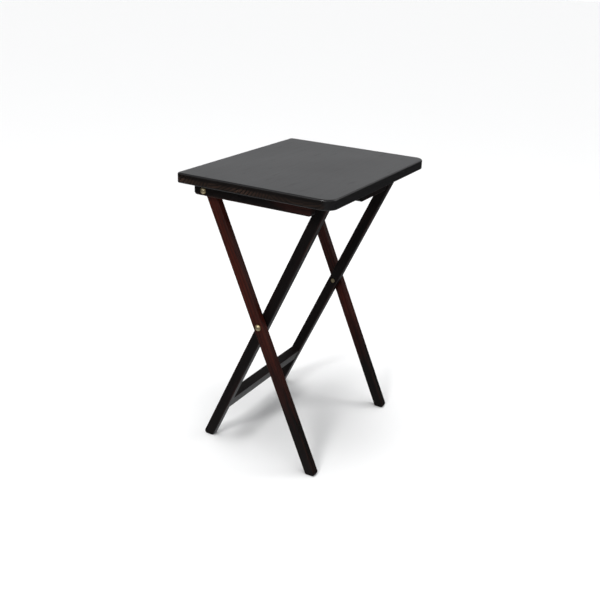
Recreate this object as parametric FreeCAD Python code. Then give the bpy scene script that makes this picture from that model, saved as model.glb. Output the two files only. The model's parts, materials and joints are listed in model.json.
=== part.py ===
"""Folding tray table: a wooden top on two pairs of crossed legs.

Frame: millimetres, +Z up, origin on the floor under the middle of the top.
X runs across the crossed legs, from the hinge side (-X) to the latch side (+X).
Y runs along the hinge axis. The left side is -Y and the right side is +Y.
"""
import FreeCAD, Part
import math
import os

from FreeCAD import Vector

# Overall sizes
table_width = 483.0           # along the hinge axis
table_depth = 371.0           # across the crossed legs
table_height = 660.0

# Top board
top_thickness = 22.0
hinge_corner_radius = 8.0     # the two corners on the hinge side
latch_corner_radius = 26.0    # the two corners on the latch side
top_edge_round = 3.5
under_edge_round = 2.0

# Legs: flat sticks, rounded at the top, cut level at the foot
leg_width = 25.0              # seen from the side of the table
leg_thickness = 18.0          # along the hinge axis
leg_edge_round = 2.0
toe_radius = 7.0              # the sharp outer corner of each foot
heel_radius = 3.0
shoulder_radius = 4.0         # between a leg's sides and its round top
pivot_height = 331.0          # where the two legs of a side cross
outer_face_from_edge = 44.0   # outer face of the outer legs, in from the top's edge

# Hinge axis and latch dowel axis, in from the two edges of the top
hinge_setback = 52.5
latch_setback = 54.5
axis_drop = 14.2              # both axes, below the top board
top_clearance = 0.4           # between the rounded leg tops and the top board

# Side rails under the top
rail_thickness = 18.0
rail_height = 25.0
rail_past_hinge = 23.0        # how far a rail runs past the hinge axis
rail_short_of_latch = 1.0     # how far it ends before the latch dowel axis
rail_corner_radius = 7.0
rail_edge_round = 1.5

# Lower crossbar between the inner legs
crossbar_width = 22.0         # across the leg
crossbar_height = 34.0        # along the leg
crossbar_centre_height = 99.0
crossbar_edge_round = 2.0
crossbar_dowel_radius = 4.0
crossbar_dowel_spacing = 17.0
crossbar_dowel_in_leg = 12.0
crossbar_dowel_in_bar = 18.0

# Latch dowel between the tops of the inner legs
latch_dowel_radius = 10.0
latch_tenon_radius = 6.0
latch_tenon_length = 13.0

# Blocks under the middle of the top: one stops the latch dowel when the table
# stands open, the other when it is folded
block_length = 130.0
block_thickness = 24.0
block_height = 22.0
block_corner_radius = 6.0
block_edge_round = 1.5
dowel_to_block = 0.5

# Bolts, nuts and washers
bolt_radius = 3.0
bolt_head_radius = 7.5
bolt_head_height = 4.0
nut_across_flats = 10.0
nut_height = 5.0
nut_recess_radius = 6.5
nut_recess_depth = 6.0
pivot_washer_thickness = 2.7
hinge_washer_thickness = 1.8
washer_radius = 8.0
running_fit = 0.06            # radial, a leg or rail on its bolt
side_gap = 0.3                # between faces that turn past each other

# Wood screws
screw_radius = 2.0
screw_head_radius = 4.0
screw_head_depth = 2.4
screw_slot_width = 1.0
screw_slot_depth = 0.9
screw_tip_radius = 0.3
screw_in_top = 11.0
screw_hole_gap = 0.25         # radial, in the piece that the screw holds
screw_head_below = 0.2        # the head sits this far under the surface
rail_screw_count = 3
rail_screw_past_hinge = 24.0
rail_screw_from_end = 24.0
block_screw_inset = 28.0

cut_past = 1.0                # how far a cutting shape reaches past the face it opens

# Worked out from the sizes above
underside = table_height - top_thickness
leg_top_radius = axis_drop - top_clearance
axis_height = underside - axis_drop
hinge_x = hinge_setback - table_depth / 2
latch_x = table_depth / 2 - latch_setback
pivot_x = (hinge_x + latch_x) / 2
leg_tilt = math.atan2((latch_x - hinge_x) / 2, axis_height - pivot_height)
arm_length = math.hypot((latch_x - hinge_x) / 2, axis_height - pivot_height)
outer_leg_face = table_width / 2 - outer_face_from_edge
outer_leg_inside = outer_leg_face - leg_thickness
inner_leg_face = outer_leg_inside - pivot_washer_thickness - side_gap
inner_leg_inside = inner_leg_face - leg_thickness
rail_inside = outer_leg_face + hinge_washer_thickness + 2 * side_gap
rail_outside = rail_inside + rail_thickness
rail_start = hinge_x - rail_past_hinge
rail_end = latch_x - rail_short_of_latch
pivot = Vector(pivot_x, 0, pivot_height)
hinge = Vector(hinge_x, 0, axis_height)
latch = Vector(latch_x, 0, axis_height)
sides = {"left": -1, "right": 1}
along_y = Vector(0, 1, 0)


def export(node, *solids):
    """Write one node; identical loose pieces share it as separate solids."""
    shape = solids[0] if len(solids) == 1 else Part.makeCompound(list(solids))
    shape.exportStep("parts/" + node + ".step")


def box(x_range, y_range, z_range):
    """Box between three pairs of limits, given in either order."""
    lows = [min(pair) for pair in (x_range, y_range, z_range)]
    sizes = [abs(pair[1] - pair[0]) for pair in (x_range, y_range, z_range)]
    return Part.makeBox(sizes[0], sizes[1], sizes[2], Vector(*lows))


def rod(centre, radius, y_from, y_to):
    """Round bar along Y through a centre given in X and Z."""
    start = Vector(centre.x, min(y_from, y_to), centre.z)
    return Part.makeCylinder(radius, abs(y_to - y_from), start, along_y)


def edges_where(shape, test):
    """Edges whose every end and middle point passes a test."""
    found = []
    for edge in shape.Edges:
        middle = edge.valueAt((edge.FirstParameter + edge.LastParameter) / 2)
        points = [vertex.Point for vertex in edge.Vertexes] + [middle]
        if all(test(point) for point in points):
            found.append(edge)
    return found


def near(value, target):
    return abs(value - target) < 1e-4


def stick_points(top_centre, lean):
    """Corners of a leg's side view; lean is +1 where its top is on the +X side."""
    up = Vector(lean * math.sin(leg_tilt), 0, math.cos(leg_tilt))
    across = Vector(math.cos(leg_tilt), 0, -lean * math.sin(leg_tilt)) * (leg_width / 2)
    shoulder_height = math.sqrt(leg_top_radius ** 2 - (leg_width / 2) ** 2)
    shoulders = [top_centre + up * shoulder_height + across * step for step in (-1, 1)]
    feet = [shoulder - up * (shoulder.z / up.z) for shoulder in shoulders]
    return feet[0], shoulders[0], top_centre + up * leg_top_radius, shoulders[1], feet[1]


def leg_blank(top_centre, lean, y_from, y_to):
    """Leg with a round top, a level foot and all edges eased, before drilling."""
    low_x_foot, low_x_top, crown, high_x_top, high_x_foot = stick_points(top_centre, lean)
    outline = Part.Wire([
        Part.makeLine(low_x_foot, low_x_top),
        Part.Arc(low_x_top, crown, high_x_top).toShape(),
        Part.makeLine(high_x_top, high_x_foot),
        Part.makeLine(high_x_foot, low_x_foot),
    ])
    y_low = min(y_from, y_to)
    thickness = abs(y_to - y_from)
    outline.translate(Vector(0, y_low, 0))
    blank = Part.Face(outline).extrude(Vector(0, thickness, 0))
    toe, heel = (low_x_foot, high_x_foot) if lean > 0 else (high_x_foot, low_x_foot)
    corners = ((toe, toe_radius), (heel, heel_radius),
               (low_x_top, shoulder_radius), (high_x_top, shoulder_radius))
    for corner, radius in corners:
        edge = edges_where(blank, lambda p: near(p.x, corner.x) and near(p.z, corner.z))
        blank = blank.makeFillet(radius, edge)
    rims = edges_where(blank, lambda p: near(p.y, y_low) or near(p.y, y_low + thickness))
    return blank.makeFillet(leg_edge_round, rims)


def rounded_bar(x_range, y_range, underside_z, height, along, corner_radius, edge_round):
    """Bar screwed up under the top, its lower end corners rounded, edges eased."""
    bar = box(x_range, y_range, (underside_z - height, underside_z))
    ends = x_range if along == "x" else y_range
    bottom = underside_z - height
    for end in ends:
        corner = edges_where(
            bar, lambda p: near(p.x if along == "x" else p.y, end) and near(p.z, bottom))
        bar = bar.makeFillet(corner_radius, corner)
    for face in (y_range if along == "x" else x_range):
        rim = edges_where(bar, lambda p: near(p.y if along == "x" else p.x, face))
        rim = [edge for edge in rim if not near(edge.CenterOfMass.z, underside_z)]
        bar = bar.makeFillet(edge_round, rim)
    return bar


def wood_screw(x, y, seat_z):
    """Countersunk wood screw pointing up, its head flush under seat_z."""
    head_z = seat_z + screw_head_below
    cone = Part.makeCone(screw_head_radius, screw_radius, screw_head_depth, Vector(x, y, head_z))
    tip_z = underside + screw_in_top
    point_length = 2 * screw_radius
    shank = Part.makeCylinder(screw_radius, tip_z - point_length - head_z, Vector(x, y, head_z))
    tip = Part.makeCone(screw_radius, screw_tip_radius, point_length,
                        Vector(x, y, tip_z - point_length))
    slot = box((x - screw_head_radius, x + screw_head_radius),
               (y - screw_slot_width / 2, y + screw_slot_width / 2),
               (head_z - cut_past, head_z + screw_slot_depth))
    return cone.fuse(shank).fuse(tip).removeSplitter().cut(slot)


def screw_hole(x, y, seat_z):
    """Clearance hole and countersink for a screw, in the piece that it holds."""
    mouth = screw_head_radius + screw_hole_gap
    shank_hole = screw_radius + screw_hole_gap
    entry = Part.makeCylinder(mouth, screw_head_below + cut_past, Vector(x, y, seat_z - cut_past))
    sink = Part.makeCone(mouth, shank_hole, screw_head_depth,
                         Vector(x, y, seat_z + screw_head_below))
    through = Part.makeCylinder(shank_hole, underside - seat_z, Vector(x, y, seat_z))
    return entry.fuse(sink).fuse(through)


def pilot_hole(x, y):
    """Hole that a screw has cut for itself in the top board."""
    point_length = 2 * screw_radius
    straight = screw_in_top - point_length
    bore = Part.makeCylinder(screw_radius, straight, Vector(x, y, underside))
    return bore.fuse(Part.makeCone(screw_radius, screw_tip_radius, point_length,
                                   Vector(x, y, underside + straight)))


def round_head_bolt(centre, head_face, far_end):
    """Bolt along Y with a domed head outside head_face, running to far_end."""
    outward = 1 if head_face > far_end else -1
    ball_radius = (bolt_head_radius ** 2 + bolt_head_height ** 2) / (2 * bolt_head_height)
    ball_centre = Vector(centre.x, head_face - outward * (ball_radius - bolt_head_height), centre.z)
    dome = Part.makeSphere(ball_radius, ball_centre)
    cap = dome.common(rod(centre, bolt_head_radius, head_face, head_face + outward * ball_radius))
    return cap.fuse(rod(centre, bolt_radius, head_face, far_end)).removeSplitter()


def hex_nut(centre, y_from, y_to):
    """Six-sided nut along Y with its bore."""
    corner = nut_across_flats / math.sqrt(3)
    points = []
    for turn in range(7):
        angle = math.radians(60 * turn)
        points.append(Vector(centre.x + corner * math.cos(angle), min(y_from, y_to),
                             centre.z + corner * math.sin(angle)))
    prism = Part.Face(Part.makePolygon(points)).extrude(Vector(0, abs(y_to - y_from), 0))
    return prism.cut(rod(centre, bolt_radius, y_from, y_to))


def flat_washer(centre, y_from, y_to):
    ring = rod(centre, washer_radius, y_from, y_to)
    return ring.cut(rod(centre, bolt_radius + running_fit, y_from, y_to))


def crossbar_axis():
    """Middle of the crossbar, on the inner legs' centre line."""
    x = pivot_x - (pivot_height - crossbar_centre_height) * math.tan(leg_tilt)
    return Vector(x, 0, crossbar_centre_height)


def crossbar_dowel_centres():
    up = Vector(math.sin(leg_tilt), 0, math.cos(leg_tilt))
    middle = crossbar_axis()
    return [middle + up * (step * crossbar_dowel_spacing / 2) for step in (-1, 1)]


def rail_screw_places():
    first = hinge_x + rail_screw_past_hinge
    last = rail_end - rail_screw_from_end
    step = (last - first) / (rail_screw_count - 1)
    return [first + step * index for index in range(rail_screw_count)]


def block_ranges():
    """X limits of the latch block and of the stop block."""
    gap = latch_dowel_radius + dowel_to_block
    latch_block = (latch_x + gap, latch_x + gap + block_thickness)
    stop_block = (hinge_x - gap - block_thickness, hinge_x - gap)
    return {"latch_block": latch_block, "stop_block": stop_block}


def screw_places():
    """Every screw into the top board, by node, as X, Y pairs."""
    places = {}
    for side, sign in sides.items():
        y = sign * (rail_inside + rail_outside) / 2
        places["rail_screws_" + side] = [(x, y) for x in rail_screw_places()]
    for block, (low_x, high_x) in block_ranges().items():
        y = block_length / 2 - block_screw_inset
        places[block + "_screws"] = [((low_x + high_x) / 2, y * sign) for sign in (-1, 1)]
    return places


def make_tabletop():
    half_depth = table_depth / 2
    half_width = table_width / 2
    board = box((-half_depth, half_depth), (-half_width, half_width), (underside, table_height))
    for end_x, radius in ((-half_depth, hinge_corner_radius), (half_depth, latch_corner_radius)):
        corners = edges_where(board, lambda p: near(p.x, end_x) and near(abs(p.y), half_width))
        board = board.makeFillet(radius, corners)
    for z, radius in ((underside, under_edge_round), (table_height, top_edge_round)):
        rim = edges_where(board, lambda p: near(p.z, z))
        board = board.makeFillet(radius, rim)
    for places in screw_places().values():
        for x, y in places:
            board = board.cut(pilot_hole(x, y))
    export("tabletop", board)


def make_rails():
    bottom = underside - rail_height
    for side, sign in sides.items():
        rail = rounded_bar((rail_start, rail_end), (sign * rail_inside, sign * rail_outside),
                           underside, rail_height, "x", rail_corner_radius, rail_edge_round)
        rail = rail.cut(rod(hinge, bolt_radius + running_fit, sign * rail_inside,
                            sign * rail_outside))
        places = screw_places()["rail_screws_" + side]
        for x, y in places:
            rail = rail.cut(screw_hole(x, y, bottom))
        export("rail_" + side, rail)
        export("rail_screws_" + side, *[wood_screw(x, y, bottom) for x, y in places])


def make_blocks():
    half = block_length / 2
    bottom = underside - block_height
    for node, x_range in block_ranges().items():
        block = rounded_bar(x_range, (-half, half), underside, block_height, "y",
                            block_corner_radius, block_edge_round)
        places = screw_places()[node + "_screws"]
        for x, y in places:
            block = block.cut(screw_hole(x, y, bottom))
        export(node, block)
        export(node + "_screws", *[wood_screw(x, y, bottom) for x, y in places])


def make_outer_legs():
    for side, sign in sides.items():
        leg = leg_blank(hinge, -1, sign * outer_leg_inside, sign * outer_leg_face)
        for centre in (pivot, hinge):
            leg = leg.cut(rod(centre, bolt_radius + running_fit, sign * outer_leg_inside,
                              sign * outer_leg_face))
        leg = leg.cut(rod(hinge, nut_recess_radius, sign * outer_leg_inside,
                          sign * (outer_leg_inside + nut_recess_depth)))
        export("outer_leg_" + side, leg)


def make_inner_legs():
    for side, sign in sides.items():
        leg = leg_blank(latch, 1, sign * inner_leg_inside, sign * inner_leg_face)
        leg = leg.cut(rod(pivot, bolt_radius, sign * inner_leg_inside, sign * inner_leg_face))
        leg = leg.cut(rod(pivot, nut_recess_radius, sign * inner_leg_inside,
                          sign * (inner_leg_inside + nut_recess_depth)))
        leg = leg.cut(rod(latch, latch_tenon_radius, sign * inner_leg_inside,
                          sign * (inner_leg_inside + latch_tenon_length)))
        for centre in crossbar_dowel_centres():
            leg = leg.cut(rod(centre, crossbar_dowel_radius, sign * inner_leg_inside,
                              sign * (inner_leg_inside + crossbar_dowel_in_leg)))
        export("inner_leg_" + side, leg)


def make_crossbar():
    middle = crossbar_axis()
    half_width = crossbar_width / 2
    half_height = crossbar_height / 2
    bar = box((-half_width, half_width), (-inner_leg_inside, inner_leg_inside),
              (-half_height, half_height))
    long_edges = [edge for edge in bar.Edges if near(edge.Length, 2 * inner_leg_inside)]
    bar = bar.makeFillet(crossbar_edge_round, long_edges)
    bar.rotate(Vector(0, 0, 0), along_y, math.degrees(leg_tilt))
    bar.translate(middle)
    for sign in sides.values():
        for centre in crossbar_dowel_centres():
            bar = bar.cut(rod(centre, crossbar_dowel_radius, sign * inner_leg_inside,
                              sign * (inner_leg_inside - crossbar_dowel_in_bar)))
    export("lower_crossbar", bar)
    for side, sign in sides.items():
        dowels = []
        for centre in crossbar_dowel_centres():
            dowels.append(rod(centre, crossbar_dowel_radius,
                              sign * (inner_leg_inside - crossbar_dowel_in_bar),
                              sign * (inner_leg_inside + crossbar_dowel_in_leg)))
        export("crossbar_dowels_" + side, *dowels)


def make_latch_dowel():
    body = rod(latch, latch_dowel_radius, -inner_leg_inside, inner_leg_inside)
    reach = inner_leg_inside + latch_tenon_length
    tenons = rod(latch, latch_tenon_radius, -reach, reach)
    export("latch_dowel", body.fuse(tenons).removeSplitter())


def make_pivot_hardware():
    """Bolts that join the crossing legs; each turns in the outer leg."""
    for side, sign in sides.items():
        head_face = sign * (outer_leg_face + side_gap)
        recess_floor = sign * (inner_leg_inside + nut_recess_depth)
        nut_end = sign * (inner_leg_inside + nut_recess_depth - nut_height)
        export("pivot_bolt_" + side, round_head_bolt(pivot, head_face, nut_end))
        export("pivot_nut_" + side, hex_nut(pivot, recess_floor, nut_end))
        export("pivot_washer_" + side,
               flat_washer(pivot, sign * inner_leg_face,
                           sign * (inner_leg_face + pivot_washer_thickness)))


def make_hinge_hardware():
    """Bolts that hinge the outer legs to the rails; they turn freely in both."""
    for side, sign in sides.items():
        head_face = sign * (rail_outside + side_gap)
        nut_face = sign * (outer_leg_inside + nut_recess_depth - side_gap)
        nut_end = sign * (outer_leg_inside + nut_recess_depth - side_gap - nut_height)
        export("hinge_bolt_" + side, round_head_bolt(hinge, head_face, nut_end))
        export("hinge_nut_" + side, hex_nut(hinge, nut_face, nut_end))
        washer_start = outer_leg_face + side_gap
        export("hinge_washer_" + side,
               flat_washer(hinge, sign * washer_start,
                           sign * (washer_start + hinge_washer_thickness)))


os.makedirs("parts", exist_ok=True)
make_tabletop()
make_rails()
make_blocks()
make_outer_legs()
make_inner_legs()
make_crossbar()
make_latch_dowel()
make_pivot_hardware()
make_hinge_hardware()
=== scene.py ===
"""Finishes, lights and viewpoint for a folding tray table with a lacquered top.

Everything is in metres, +Z up, with the origin on the floor under the middle of
the top. X runs from the hinge side to the latch side and Y along the hinge axis.
"""

import json
import math

import bpy
from bpy.props import FloatProperty, FloatVectorProperty, PointerProperty
from bpy.types import Operator, Panel, PropertyGroup
from mathutils import Matrix, Vector


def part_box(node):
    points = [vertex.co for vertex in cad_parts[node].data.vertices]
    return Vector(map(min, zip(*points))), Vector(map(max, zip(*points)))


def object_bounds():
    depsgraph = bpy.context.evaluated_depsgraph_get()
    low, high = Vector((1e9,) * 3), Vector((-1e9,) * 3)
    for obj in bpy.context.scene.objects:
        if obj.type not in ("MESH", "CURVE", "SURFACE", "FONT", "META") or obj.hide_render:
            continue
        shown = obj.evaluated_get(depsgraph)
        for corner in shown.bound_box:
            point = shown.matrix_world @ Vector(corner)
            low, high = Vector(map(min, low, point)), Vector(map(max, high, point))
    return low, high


bl_info = {
    "name": "Folding Tray Table",
    "version": (1, 0, 0),
    "blender": (4, 5, 0),
    "location": "3D View > Sidebar > Tray Table",
    "description": "Gives a folding tray table its wood, lacquer and brass, and lights it",
    "category": "Object",
}

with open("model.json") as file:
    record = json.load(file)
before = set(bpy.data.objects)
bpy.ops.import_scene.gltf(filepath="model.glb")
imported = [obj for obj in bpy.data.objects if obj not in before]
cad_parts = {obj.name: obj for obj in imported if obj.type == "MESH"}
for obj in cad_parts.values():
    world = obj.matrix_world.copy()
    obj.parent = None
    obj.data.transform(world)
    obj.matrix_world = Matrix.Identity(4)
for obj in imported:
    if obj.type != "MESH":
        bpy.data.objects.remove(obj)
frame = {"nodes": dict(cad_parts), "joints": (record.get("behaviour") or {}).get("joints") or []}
cad_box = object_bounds()
nodes = frame["nodes"]
joint_places = {joint["name"]: Vector(joint["pos_m"]) for joint in frame["joints"]}

ALONG_X = Vector((1, 0, 0))
ALONG_Y = Vector((0, 1, 0))
ALONG_Z = Vector((0, 0, 1))
OUTER_LEG_LINE = (joint_places["top_follow"] - joint_places["leg_fold"]).normalized()
INNER_LEG_LINE = Vector((-OUTER_LEG_LINE.x, 0, OUTER_LEG_LINE.z))
SIDES = ("left", "right")
ROOM_TONE = (0.97, 0.985, 1.0)
CEILING_SPREAD = math.radians(50)


# ---------------------------------------------------------------- shader maths

class Wire:
    """One output of a shader node. Arithmetic on it adds Math nodes."""

    def __init__(self, bench, socket):
        self.bench = bench
        self.socket = socket

    def __add__(self, other):
        return self.bench.math("ADD", self, other)

    def __radd__(self, other):
        return self.bench.math("ADD", other, self)

    def __sub__(self, other):
        return self.bench.math("SUBTRACT", self, other)

    def __rsub__(self, other):
        return self.bench.math("SUBTRACT", other, self)

    def __mul__(self, other):
        return self.bench.math("MULTIPLY", self, other)

    def __rmul__(self, other):
        return self.bench.math("MULTIPLY", other, self)

    def __truediv__(self, other):
        return self.bench.math("DIVIDE", self, other)

    def __pow__(self, other):
        return self.bench.math("POWER", self, other)

    def __abs__(self):
        return self.bench.math("ABSOLUTE", self)

    def output(self, name):
        """Another output of the same node."""
        return Wire(self.bench, self.socket.node.outputs[name])


class Bench:
    """A node tree being wired up."""

    def __init__(self, tree):
        self.tree = tree
        tree.nodes.clear()

    def node(self, kind, settings, values, output=0):
        """Add one node: its settings first, then the values or wires of its inputs."""
        made = self.tree.nodes.new(kind)
        for name, setting in settings.items():
            setattr(made, name, setting)
        for name, value in values.items():
            if isinstance(value, Wire):
                self.tree.links.new(value.socket, made.inputs[name])
            else:
                made.inputs[name].default_value = value
        return Wire(self, made.outputs[output]) if len(made.outputs) else made

    def math(self, operation, *values):
        return self.node("ShaderNodeMath", {"operation": operation}, dict(enumerate(values)))

    def vector_math(self, operation, *values, output=0):
        return self.node("ShaderNodeVectorMath", {"operation": operation},
                         dict(enumerate(values)), output)

    def vector(self, x, y, z):
        return self.node("ShaderNodeCombineXYZ", {}, {0: x, 1: y, 2: z})

    def ramp(self, value, start, end, low=0.0, high=1.0):
        """Smooth step from low to high while value goes from start to end."""
        return self.node("ShaderNodeMapRange", {"interpolation_type": "SMOOTHSTEP"},
                         {"Value": value, "From Min": start, "From Max": end,
                          "To Min": low, "To Max": high})

    def blend(self, share, first, second):
        """First colour where share is 0, second where it is 1."""
        return self.node("ShaderNodeMix", {"data_type": "RGBA"}, {0: share, 6: first, 7: second}, 2)

    def noise(self, place, detail=2.0, roughness=0.5, distortion=0.0):
        """Soft cloud from 0 to 1; place is already scaled to the cloud's size."""
        return self.node("ShaderNodeTexNoise", {"noise_dimensions": "3D"},
                         {"Vector": place, "Scale": 1.0, "Detail": detail,
                          "Roughness": roughness, "Distortion": distortion}, "Fac")

    def bump(self, height, distance, strength=1.0, before=None):
        values = {"Height": height, "Distance": distance, "Strength": strength}
        if before is not None:
            values["Normal"] = before
        return self.node("ShaderNodeBump", {}, values)

    def surface(self, values):
        """Principled surface wired to the material's output."""
        shader = self.node("ShaderNodeBsdfPrincipled", {}, values)
        self.node("ShaderNodeOutputMaterial", {}, {"Surface": shader})


def rgba(colour):
    return (*colour, 1.0)


def new_finish(name, node_name):
    """Empty material put in a node's slot; returns the bench to wire it on."""
    made = bpy.data.materials.new(name)
    made.use_nodes = True
    if node_name not in nodes:
        raise RuntimeError("the table has no piece named " + node_name)
    slots = nodes[node_name].data.materials
    slots.clear()
    slots.append(made)
    return Bench(made.node_tree)


# ---------------------------------------------------------------------- wood

class Piece:
    """A wooden piece: the middle and half sizes of its mesh along its own axes."""

    def __init__(self, name, grain, across):
        self.name = name
        self.axes = (grain, across, grain.cross(across).normalized())
        points = [vertex.co for vertex in nodes[name].data.vertices]
        self.middle = Vector((0, 0, 0))
        self.half = []
        for axis in self.axes:
            reach = [point.dot(axis) for point in points]
            self.middle += axis * (max(reach) + min(reach)) / 2
            self.half.append((max(reach) - min(reach)) / 2)
        self.seed = sum(map(ord, name)) * 0.0137


class Timber:
    """Where a point lies in a piece, and the wood's figure there."""

    def __init__(self, bench, piece, ring_width, pith):
        self.bench = bench
        self.piece = piece
        here = bench.node("ShaderNodeTexCoord", {}, {}, "Object")
        offset = bench.vector_math("SUBTRACT", here, piece.middle)
        self.along, self.across, self.through = [
            bench.vector_math("DOT_PRODUCT", offset, axis, output="Value")
            for axis in piece.axes]
        self.shifted = self.along + piece.seed
        self.rings = self.make_rings(ring_width, pith)

    def stretched(self, along, side, drift=0.0):
        """Place for a noise that is drawn out along the grain; scales are per metre."""
        return self.bench.vector(self.shifted * along + drift, self.across * side,
                                 self.through * side)

    def make_rings(self, ring_width, pith):
        """Growth rings round a pith outside the piece, 0 in early and 1 in late wood."""
        sway = self.bench.noise(self.stretched(2.2, 9.0), detail=2.0)
        side = self.across - pith[0]
        depth = self.through - pith[1]
        radius = self.bench.math("SQRT", side * side + depth * depth)
        turn = self.bench.math("FRACT", (radius + sway * 0.03) / ring_width)
        late = self.bench.ramp(turn, 0.35, 0.92)
        return late * (1 - self.bench.ramp(turn, 0.94, 1.0))

    def pores(self, share):
        """Short fine vessels, 1 inside one; share is how much of the face they take."""
        fine = self.bench.noise(self.stretched(70.0, 1500.0), detail=1.0)
        return self.bench.ramp(fine, 0.72 - share, 0.80 - share)

    def streaks(self, along=7.0, side=260.0, drift=3.1):
        return self.bench.noise(self.stretched(along, side, drift), detail=3.0, roughness=0.6)

    def clouds(self, along=4.0, side=14.0, drift=8.7):
        return self.bench.noise(self.stretched(along, side, drift), detail=2.0)

    def rubbed_edges(self, reach=0.0035):
        """1 on the long rounded edges, where the stain is thin, fading into the faces."""
        bench, half = self.bench, self.piece.half
        by_side = bench.ramp(abs(self.across), half[1] - reach, half[1])
        by_depth = bench.ramp(abs(self.through), half[2] - reach, half[2])
        patchy = bench.ramp(self.clouds(16.0, 60.0, 5.3), 0.35, 0.7)
        return bench.math("SQRT", by_side * by_depth) * patchy

    def cut_ends(self, depth=0.004):
        """1 on the two sawn ends, which soak up more stain."""
        return self.bench.ramp(abs(self.along), self.piece.half[0] - depth, self.piece.half[0])


def stain_wood(piece, stain, redness, pith=(0.07, 0.045), fade=0.0):
    """Espresso stain over mahogany-toned wood under a thin satin coat."""
    bench = new_finish("stained_" + piece.name, piece.name)
    wood = Timber(bench, piece, stain.ring_width, pith)
    streaks = wood.streaks()
    clouds = wood.clouds()
    pores = wood.pores(stain.pore_share)

    climb = wood.along * (fade / piece.half[0])
    red_share = bench.ramp(clouds + (streaks - 0.5) * 0.5 + climb,
                           0.72 - redness * 0.6, 1.02 - redness * 0.6)
    colour = bench.blend(red_share, rgba(stain.espresso), rgba(stain.mahogany))
    grey_share = bench.ramp(wood.clouds(3.0, 10.0, 21.3) * 0.6 + wood.streaks(5.0, 120.0, 12.1) * 0.4,
                            0.48, 0.64)
    colour = bench.blend(grey_share * stain.grey_share, colour, rgba(stain.grey_brown))
    colour = bench.blend(bench.ramp(streaks, 0.5, 0.72) * 0.45, colour, rgba(stain.mahogany_dark))
    colour = bench.blend(wood.rings * 0.5, colour, rgba(stain.espresso))
    colour = bench.blend(wood.rubbed_edges() * stain.edge_wear, colour, rgba(stain.worn))
    colour = bench.blend(pores * 0.75, colour, rgba(stain.pore))
    colour = bench.blend(wood.cut_ends() * 0.6, colour, rgba(stain.espresso))

    roughness = stain.roughness + (streaks - 0.5) * 0.22 + pores * 0.12 + (clouds - 0.5) * 0.12
    relief = streaks * 0.5 + (1 - pores) * 0.5 + wood.rings * 0.25
    bench.surface({
        "Base Color": colour,
        "Roughness": roughness,
        "Specular IOR Level": 0.18,
        "Coat Weight": 0.10 + (clouds - 0.5) * 0.08,
        "Coat Roughness": 0.24,
        "Coat IOR": 1.45,
        "Normal": bench.bump(relief, stain.grain_depth),
    })


def lacquer_top(piece, top):
    """Glued-up board with dark satin lacquer; its end grain shows on the sawn edges, with painted
    shade over their upper half.
    """
    bench = new_finish("lacquered_top", piece.name)
    wood = Timber(bench, piece, top.ring_width, (0.11, 0.06))
    number = bench.math("FLOOR", wood.across / top.stave_width + 0.37)
    in_stave = bench.math("FRACT", wood.across / top.stave_width + 0.37)
    chance = bench.node("ShaderNodeTexWhiteNoise", {"noise_dimensions": "1D"},
                        {"W": number + 4.3}, "Value")
    second = bench.node("ShaderNodeTexWhiteNoise", {"noise_dimensions": "1D"},
                        {"W": number + 17.9}, "Value")
    seam = 1 - bench.ramp(bench.math("MINIMUM", in_stave, 1 - in_stave), 0.0, 0.012)

    sway = bench.noise(bench.vector(wood.shifted * 1.5 + chance * 9.0, wood.across * 12.0,
                                    wood.through * 12.0), detail=2.0)
    side = (in_stave - 0.5) * top.stave_width + (chance - 0.5) * 0.16
    depth = wood.through + 0.035 + second * 0.05
    radius = bench.math("SQRT", side * side + depth * depth) + sway * 0.02 + chance
    turn = bench.math("FRACT", radius / top.ring_width)
    rings = bench.ramp(turn, 0.3, 0.88) * (1 - bench.ramp(turn, 0.92, 1.0))

    streaks = bench.noise(bench.vector(wood.shifted * 5.0 + chance * 7.0, wood.across * 210.0,
                                       wood.through * 210.0), detail=3.0, roughness=0.6)
    fibres = bench.noise(bench.vector(wood.shifted * 40.0, wood.across * 900.0,
                                      wood.through * 900.0), detail=1.0)
    pores = bench.ramp(fibres, 0.66, 0.76)
    flecks = bench.ramp(bench.noise(bench.vector(wood.shifted * 14.0, wood.across * 75.0,
                                                 wood.through * 75.0), detail=3.0), 0.6, 0.72)
    clouds = wood.clouds(5.0, 7.0, 2.9)
    sawn = wood.cut_ends(0.003)
    flat = bench.ramp(abs(wood.through), piece.half[2] - 0.004, piece.half[2] - 0.001)

    colour = bench.blend(streaks, rgba(top.lacquer), rgba(top.lacquer_warm))
    colour = bench.blend(flecks * 0.35, colour, rgba(top.fleck))
    colour = bench.blend(rings * 0.35, colour, rgba(top.fleck))
    end_colour = bench.blend(rings, rgba(top.end_light), rgba(top.end_dark_and_shade))
    end_colour = bench.blend(bench.ramp(clouds, 0.4, 0.62) * 0.6, end_colour, rgba(top.end_dark_and_shade))
    # Painted shade: the upper half of each sawn edge is darkened, standing in for the dark reflection
    # along the rounded top edge.
    painted_shade_upper = 1 - bench.ramp(wood.through, -0.003, 0.002)
    end_colour = bench.blend(painted_shade_upper * 0.85, end_colour, rgba(top.end_dark_and_shade))
    edge = sawn * (1 - flat)
    colour = bench.blend(edge, colour, end_colour)
    colour = bench.blend(seam * 0.5, colour, rgba(top.fleck))

    roughness = (top.roughness + (clouds - 0.5) * 0.12 + (streaks - 0.5) * 0.05 + pores * 0.04
                 + flecks * 0.03 - edge * 0.08)
    relief = (1 - pores) * 0.3 + streaks * 0.25 + rings * 0.15 - seam * 0.3
    bench.surface({
        "Base Color": colour,
        "Roughness": roughness,
        "Specular IOR Level": 0.5,
        "Coat Weight": (0.20 + (clouds - 0.5) * 0.1) * (1 - edge),
        "Coat Roughness": 0.16,
        "Coat IOR": 1.45,
        "Normal": bench.bump(relief, top.grain_depth),
    })


# --------------------------------------------------------------------- metal

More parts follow.
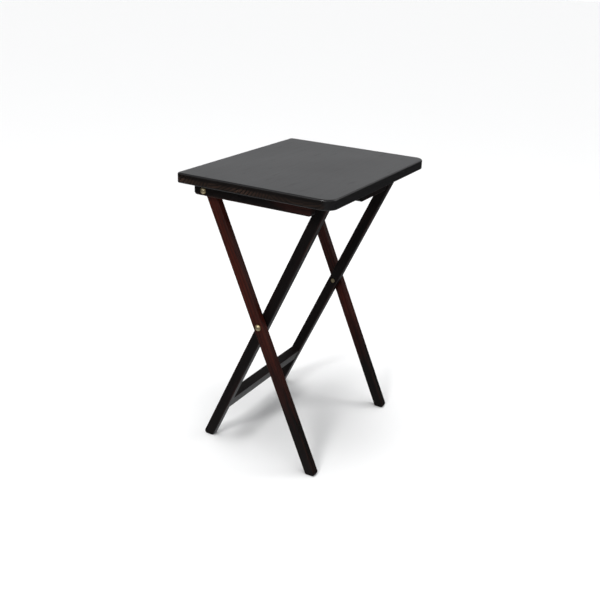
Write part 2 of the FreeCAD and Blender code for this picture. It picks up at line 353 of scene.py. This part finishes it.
def plate_metal(node_name, finish, centre, colour, tarnish, roughness):
    """Turned, plated metal: fine turning marks round an axis along Y, dull at the rim."""
    bench = new_finish(finish + "_" + node_name, node_name)
    here = bench.node("ShaderNodeTexCoord", {}, {}, "Object")
    offset = bench.vector_math("SUBTRACT", here, centre)
    parts = bench.node("ShaderNodeSeparateXYZ", {}, {0: offset}, "X")
    up = parts.output("Z")
    radius = bench.math("SQRT", parts * parts + up * up)
    marks = bench.noise(bench.vector(radius * 9000.0, parts.output("Y") * 2500.0, 0.0), detail=2.0)
    enlarged = bench.node("ShaderNodeVectorMath", {"operation": "SCALE"}, {0: offset, "Scale": 420.0})
    spots = bench.noise(enlarged, detail=3.0)
    dull = bench.ramp(spots, 0.45, 0.7) * 0.5
    rim = bench.ramp(radius, 0.0052, 0.0076)
    share = bench.math("MINIMUM", dull + rim * 0.75, 1.0)
    bench.surface({
        "Base Color": bench.blend(share, rgba(colour), rgba(tarnish)),
        "Metallic": 1.0,
        "Roughness": roughness + share * 0.16 + (marks - 0.5) * 0.12,
        "Normal": bench.bump(marks + spots * 0.4, 0.00004),
    })


def node_middle(name):
    low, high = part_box(name)
    return (low + high) / 2


# ---------------------------------------------------------------- properties

def colour_property(name, description, default):
    return FloatVectorProperty(name=name, description=description, default=default,
                               subtype="COLOR", size=3, min=0.0, max=1.0)


class StainProperties(PropertyGroup):
    """Stain of the legs, rails, blocks and crossbar."""

    espresso: colour_property("Espresso", "Darkest tone of the stain", (0.0040, 0.0028, 0.0027))
    mahogany: colour_property("Mahogany", "Red tone where the stain is thin",
                              (0.046, 0.0070, 0.0034))
    mahogany_dark: colour_property("Dark mahogany", "Tone of the darker streaks",
                                   (0.0120, 0.0032, 0.0022))
    grey_brown: colour_property("Grey brown", "Dusty tone in patches", (0.0085, 0.0064, 0.0060))
    worn: colour_property("Rubbed edge", "Tone of the thin stain along the edges",
                          (0.042, 0.014, 0.0085))
    pore: colour_property("Pore", "Tone inside the open pores", (0.0022, 0.0016, 0.0015))
    ring_width: FloatProperty(name="Ring width", description="Distance between growth rings",
                              default=0.0042, unit="LENGTH")
    grain_depth: FloatProperty(name="Grain depth", description="Depth of pores and streaks",
                               default=0.00014, unit="LENGTH")
    pore_share: FloatProperty(name="Pore share", description="How densely the pores stand",
                              default=0.10, subtype="FACTOR", min=0.0, max=0.3)
    roughness: FloatProperty(name="Roughness", description="Dullness of the stained faces",
                             default=0.36, subtype="FACTOR", min=0.0, max=1.0)
    edge_wear: FloatProperty(name="Edge wear", description="How much stain the edges have lost",
                             default=0.55, subtype="FACTOR", min=0.0, max=1.0)
    grey_share: FloatProperty(name="Grey share", description="Strength of the dusty patches",
                              default=0.55, subtype="FACTOR", min=0.0, max=1.0)
    fade: FloatProperty(name="Fade", description="How much redder a leg is at its top than its foot",
                        default=0.34, subtype="FACTOR", min=0.0, max=0.5)
    outer_leg_red: FloatProperty(name="Outer legs red", description="How red the outer legs are",
                                 default=0.78, subtype="FACTOR", min=0.0, max=1.0)
    inner_leg_red: FloatProperty(name="Inner legs red", description="How red the inner legs are",
                                 default=0.16, subtype="FACTOR", min=0.0, max=1.0)
    rail_red: FloatProperty(name="Rails red", description="How red the rails and blocks are",
                            default=0.32, subtype="FACTOR", min=0.0, max=1.0)


class TopProperties(PropertyGroup):
    """Lacquer and end grain of the top board."""

    lacquer: colour_property("Lacquer", "Body tone of the lacquer", (0.0060, 0.0060, 0.0070))
    lacquer_warm: colour_property("Warm lacquer", "Tone where wood shows through",
                                  (0.0090, 0.0080, 0.0082))
    fleck: colour_property("Fleck", "Dark flecks along the grain", (0.0035, 0.0032, 0.0034))
    end_light: colour_property("Early wood", "Light bands of the end grain",
                               (0.034, 0.0190, 0.0130))
    # Dark end-grain tone, also the colour of the painted shade over the upper half of the sawn edges.
    end_dark_and_shade: colour_property("Late wood", "Dark bands of the end grain",
                              (0.0026, 0.0019, 0.0018))
    ring_width: FloatProperty(name="Ring width", description="Distance between growth rings",
                              default=0.0065, unit="LENGTH")
    stave_width: FloatProperty(name="Stave width", description="Width of each glued stave",
                               default=0.075, unit="LENGTH")
    grain_depth: FloatProperty(name="Grain depth", description="Depth of the grain in the lacquer",
                               default=0.00006, unit="LENGTH")
    roughness: FloatProperty(name="Roughness", description="Dullness of the lacquer",
                             default=0.36, subtype="FACTOR", min=0.0, max=1.0)


class HardwareProperties(PropertyGroup):
    """Bolts, nuts, washers and screws."""

    brass: colour_property("Brass", "Bright brass plating", (0.66, 0.56, 0.36))
    brass_tarnish: colour_property("Tarnish", "Dull olive tone of old brass", (0.36, 0.27, 0.11))
    steel: colour_property("Steel", "Zinc-plated steel", (0.62, 0.62, 0.60))
    steel_dull: colour_property("Dull steel", "Tone of dulled zinc", (0.30, 0.30, 0.30))
    brass_roughness: FloatProperty(name="Brass roughness", description="Dullness of the brass",
                                   default=0.42, subtype="FACTOR", min=0.0, max=1.0)
    steel_roughness: FloatProperty(name="Steel roughness", description="Dullness of the steel",
                                   default=0.34, subtype="FACTOR", min=0.0, max=1.0)


class StageProperties(PropertyGroup):
    """Floor and studio light."""

    floor_tone: colour_property("Floor", "Tone of the plain floor", (0.86, 0.86, 0.86))
    floor_reach: FloatProperty(name="Floor reach", description="Half the side of the floor",
                               default=40.0, unit="LENGTH")
    horizon_glow: FloatProperty(name="Horizon glow", description="Light of the dim walls",
                                default=0.04, min=0.0)
    panel_glow: FloatProperty(name="Panel glow", description="Light of the panels round the room",
                              default=0.82, min=0.0)
    zenith_glow: FloatProperty(name="Ceiling glow", description="Light straight above",
                               default=0.20, min=0.0)
    under_glow: FloatProperty(name="Glow from below", description="Light that gloss picks up below",
                              default=0.56, min=0.0)
    ceiling_light: FloatProperty(name="Ceiling light", description="Strength of the even light above",
                                 default=2.9, min=0.0)
    backdrop: FloatProperty(name="Backdrop", description="Brightness of the plain backdrop",
                            default=1.04, min=0.0)
    key_power: FloatProperty(name="Key power", description="Power of the front lamp",
                             default=22.0, unit="POWER")
    fill_power: FloatProperty(name="Fill power", description="Power of the rear lamp",
                              default=9.0, unit="POWER")


class ViewpointProperties(PropertyGroup):
    """Where the camera stands."""

    azimuth: FloatProperty(name="Azimuth", description="Turn to the right of the left side",
                           default=math.radians(28.66), subtype="ANGLE")
    elevation: FloatProperty(name="Elevation", description="Height above the horizon",
                             default=math.radians(22.29), subtype="ANGLE")
    roll: FloatProperty(name="Roll", description="Turn about the line of sight",
                        default=math.radians(2.57), subtype="ANGLE")
    distance: FloatProperty(name="Distance", description="From the camera to its target",
                            default=1.97179, unit="LENGTH")
    focal_length: FloatProperty(name="Focal length", description="Lens on a 36 mm sensor",
                                default=49.243, unit="CAMERA")
    target: FloatVectorProperty(name="Target", description="Point that the camera looks at",
                                default=(-0.00636, 0.0, 0.33004), subtype="TRANSLATION", size=3)


class TrayTableProperties(PropertyGroup):
    """All settings of the table."""

    stain: PointerProperty(type=StainProperties)
    top: PointerProperty(type=TopProperties)
    hardware: PointerProperty(type=HardwareProperties)
    stage: PointerProperty(type=StageProperties)
    viewpoint: PointerProperty(type=ViewpointProperties)


# ----------------------------------------------------------------- operators

class TRAYTABLE_OT_tabletop(Operator):
    """Lacquer the top board"""

    bl_idname = "tray_table.tabletop"
    bl_label = "Lacquer the Top"

    def execute(self, context):
        lacquer_top(Piece("tabletop", ALONG_Y, ALONG_X), context.scene.tray_table.top)
        return {"FINISHED"}


class TRAYTABLE_OT_outer_legs(Operator):
    """Stain the two legs that are hinged to the rails"""

    bl_idname = "tray_table.outer_legs"
    bl_label = "Stain the Outer Legs"

    def execute(self, context):
        stain = context.scene.tray_table.stain
        for side in SIDES:
            stain_wood(Piece("outer_leg_" + side, OUTER_LEG_LINE, ALONG_Y), stain,
                       stain.outer_leg_red, fade=stain.fade)
        return {"FINISHED"}


class TRAYTABLE_OT_inner_legs(Operator):
    """Stain the two legs that carry the latch dowel"""

    bl_idname = "tray_table.inner_legs"
    bl_label = "Stain the Inner Legs"

    def execute(self, context):
        stain = context.scene.tray_table.stain
        for side in SIDES:
            stain_wood(Piece("inner_leg_" + side, INNER_LEG_LINE, ALONG_Y), stain,
                       stain.inner_leg_red, (0.05, -0.08), stain.fade * 0.3)
        return {"FINISHED"}


class TRAYTABLE_OT_crossbar(Operator):
    """Stain the bar between the inner legs"""

    bl_idname = "tray_table.crossbar"
    bl_label = "Stain the Crossbar"

    def execute(self, context):
        stain = context.scene.tray_table.stain
        stain_wood(Piece("lower_crossbar", ALONG_Y, INNER_LEG_LINE), stain,
                   stain.inner_leg_red * 0.4)
        return {"FINISHED"}


class TRAYTABLE_OT_rails(Operator):
    """Stain the rails under the top"""

    bl_idname = "tray_table.rails"
    bl_label = "Stain the Rails"

    def execute(self, context):
        stain = context.scene.tray_table.stain
        for side in SIDES:
            stain_wood(Piece("rail_" + side, ALONG_X, ALONG_Z), stain, stain.rail_red,
                       (0.03, 0.05), stain.fade * 0.6)
        return {"FINISHED"}


class TRAYTABLE_OT_blocks(Operator):
    """Stain the two blocks that stop the latch dowel"""

    bl_idname = "tray_table.blocks"
    bl_label = "Stain the Blocks"

    def execute(self, context):
        stain = context.scene.tray_table.stain
        for name in ("latch_block", "stop_block"):
            stain_wood(Piece(name, ALONG_Y, ALONG_Z), stain, stain.rail_red, (0.04, 0.06))
        return {"FINISHED"}


class TRAYTABLE_OT_dowels(Operator):
    """Stain the latch dowel and the hidden crossbar dowels"""

    bl_idname = "tray_table.dowels"
    bl_label = "Stain the Dowels"

    def execute(self, context):
        stain = context.scene.tray_table.stain
        names = ["latch_dowel"] + ["crossbar_dowels_" + side for side in SIDES]
        for name in names:
            stain_wood(Piece(name, ALONG_Y, ALONG_X), stain, stain.rail_red, (0.02, 0.03))
        return {"FINISHED"}


class TRAYTABLE_OT_brass(Operator):
    """Plate the bolts with brass"""

    bl_idname = "tray_table.brass"
    bl_label = "Plate the Bolts"

    def execute(self, context):
        metal = context.scene.tray_table.hardware
        for joint in ("pivot_", "hinge_"):
            for kind in ("bolt_", "nut_"):
                for side in SIDES:
                    name = joint + kind + side
                    plate_metal(name, "brass", node_middle(name), metal.brass,
                                metal.brass_tarnish, metal.brass_roughness)
        return {"FINISHED"}


class TRAYTABLE_OT_steel(Operator):
    """Plate the washers and wood screws with zinc"""

    bl_idname = "tray_table.steel"
    bl_label = "Plate the Washers and Screws"

    def execute(self, context):
        metal = context.scene.tray_table.hardware
        names = [joint + "washer_" + side for joint in ("pivot_", "hinge_") for side in SIDES]
        names += ["rail_screws_" + side for side in SIDES]
        names += ["latch_block_screws", "stop_block_screws"]
        for name in names:
            plate_metal(name, "steel", node_middle(name), metal.steel, metal.steel_dull,
                        metal.steel_roughness)
        return {"FINISHED"}


def add_lamp(name, power, size, place, target):
    """Square soft lamp at a place, turned to a target."""
    light = bpy.data.lights.new(name, "AREA")
    light.shape = "SQUARE"
    light.size = size
    light.energy = power
    lamp = bpy.data.objects.new(name, light)
    lamp.location = place
    lamp.rotation_mode = "QUATERNION"
    lamp.rotation_quaternion = (target - place).to_track_quat("-Z", "Y")
    bpy.context.scene.collection.objects.link(lamp)


def add_ceiling(strength, spread):
    """Even soft light from straight above, the same over the whole floor, without glints."""
    light = bpy.data.lights.new("ceiling", "SUN")
    light.energy = strength
    light.angle = spread
    ceiling = bpy.data.objects.new("ceiling", light)
    ceiling.visible_glossy = False
    bpy.context.scene.collection.objects.link(ceiling)


def from_above(azimuth, elevation, distance, centre):
    """Point seen from a centre at an azimuth and an elevation, both in degrees."""
    turn = math.radians(azimuth)
    rise = math.radians(elevation)
    return centre + Vector((math.sin(turn) * math.cos(rise), -math.cos(turn) * math.cos(rise),
                            math.sin(rise))) * distance


class TRAYTABLE_OT_stage(Operator):
    """Lay the floor and set up the studio light"""

    bl_idname = "tray_table.stage"
    bl_label = "Set the Stage"

    def execute(self, context):
        stage = context.scene.tray_table.stage
        self.lay_floor(stage)
        self.light_room(context.scene, stage)
        centre = (cad_box[0] + cad_box[1]) / 2
        add_ceiling(stage.ceiling_light, CEILING_SPREAD)
        add_lamp("front_lamp", stage.key_power, 0.45, from_above(0, 38, 2.3, centre), centre)
        add_lamp("rear_lamp", stage.fill_power, 0.9, from_above(130, 45, 2.6, centre), centre)
        context.scene.view_settings.view_transform = "Standard"
        return {"FINISHED"}

    def lay_floor(self, stage):
        reach = stage.floor_reach
        corners = [(-reach, -reach, 0), (reach, -reach, 0), (reach, reach, 0), (-reach, reach, 0)]
        mesh = bpy.data.meshes.new("floor")
        mesh.from_pydata(corners, [], [(0, 1, 2, 3)])
        floor = bpy.data.objects.new("floor", mesh)
        bpy.context.scene.collection.objects.link(floor)
        floor.visible_glossy = False
        material = bpy.data.materials.new("plain_floor")
        material.use_nodes = True
        bench = Bench(material.node_tree)
        here = bench.node("ShaderNodeTexCoord", {}, {}, "Object")
        faint = bench.noise(here, detail=3.0)
        bench.surface({"Base Color": rgba(stage.floor_tone), "Roughness": 0.7 + faint * 0.1})
        mesh.materials.append(material)

    def light_room(self, scene, stage):
        world = bpy.data.worlds.new("studio")
        scene.world = world
        world.use_nodes = True
        bench = Bench(world.node_tree)
        here = bench.node("ShaderNodeTexCoord", {}, {}, "Generated")
        height = bench.node("ShaderNodeSeparateXYZ", {}, {0: here}, "Z")
        near_floor = bench.ramp(height, -0.74, -0.44, stage.under_glow, stage.horizon_glow)
        panels = bench.ramp(height, 0.08, 0.28, 0.0,
                            stage.panel_glow - stage.horizon_glow)
        ceiling = bench.ramp(height, 0.24, 0.54, 0.0, stage.zenith_glow - stage.panel_glow)
        glow = near_floor + panels + ceiling
        seen = bench.node("ShaderNodeLightPath", {}, {}, "Is Camera Ray")
        glow = glow + (stage.backdrop - glow) * seen
        light = bench.node("ShaderNodeBackground", {},
                           {"Color": rgba(ROOM_TONE), "Strength": glow})
        bench.node("ShaderNodeOutputWorld", {}, {"Surface": light})


class TRAYTABLE_OT_viewpoint(Operator):
    """Stand the camera in front of the table"""

    bl_idname = "tray_table.viewpoint"
    bl_label = "Stand the Camera"

    def execute(self, context):
        view = context.scene.tray_table.viewpoint
        lens = bpy.data.cameras.new("viewpoint")
        lens.sensor_width = 36.0
        lens.lens = view.focal_length
        lens.clip_end = 200.0
        camera = bpy.data.objects.new("viewpoint", lens)
        context.scene.collection.objects.link(camera)
        back = from_above(math.degrees(view.azimuth), math.degrees(view.elevation), 1.0,
                          Vector((0, 0, 0)))
        right = (-back).cross(ALONG_Z).normalized()
        up = right.cross(-back)
        turn = Matrix.Rotation(view.roll, 3, back)
        axes = Matrix((turn @ right, turn @ up, back)).transposed()
        place = Vector(view.target) + back * view.distance
        camera.matrix_world = Matrix.Translation(place) @ axes.to_4x4()
        context.scene.camera = camera
        return {"FINISHED"}


STEPS = (TRAYTABLE_OT_tabletop, TRAYTABLE_OT_outer_legs, TRAYTABLE_OT_inner_legs,
         TRAYTABLE_OT_crossbar, TRAYTABLE_OT_rails, TRAYTABLE_OT_blocks, TRAYTABLE_OT_dowels,
         TRAYTABLE_OT_brass, TRAYTABLE_OT_steel, TRAYTABLE_OT_stage, TRAYTABLE_OT_viewpoint)


class TRAYTABLE_PT_sidebar(Panel):
    """Steps and settings of the tray table"""

    bl_idname = "TRAYTABLE_PT_sidebar"
    bl_label = "Tray Table"
    bl_space_type = "VIEW_3D"
    bl_region_type = "UI"
    bl_category = "Tray Table"

    def draw(self, context):
        for step in STEPS:
            self.layout.operator(step.bl_idname)
        table = context.scene.tray_table
        for group in (table.stain, table.top, table.hardware, table.stage, table.viewpoint):
            box = self.layout.box()
            for name in group.bl_rna.properties.keys():
                if name not in ("rna_type", "name"):
                    box.prop(group, name)


CLASSES = (StainProperties, TopProperties, HardwareProperties, StageProperties,
           ViewpointProperties, TrayTableProperties, *STEPS, TRAYTABLE_PT_sidebar)


def register():
    for cls in CLASSES:
        bpy.utils.register_class(cls)
    bpy.types.Scene.tray_table = PointerProperty(type=TrayTableProperties)


def unregister():
    del bpy.types.Scene.tray_table
    for cls in reversed(CLASSES):
        bpy.utils.unregister_class(cls)


def main():
    register()
    for step in STEPS:
        group, name = step.bl_idname.split(".")
        getattr(getattr(bpy.ops, group), name)()


if __name__ == "__main__":
    main()
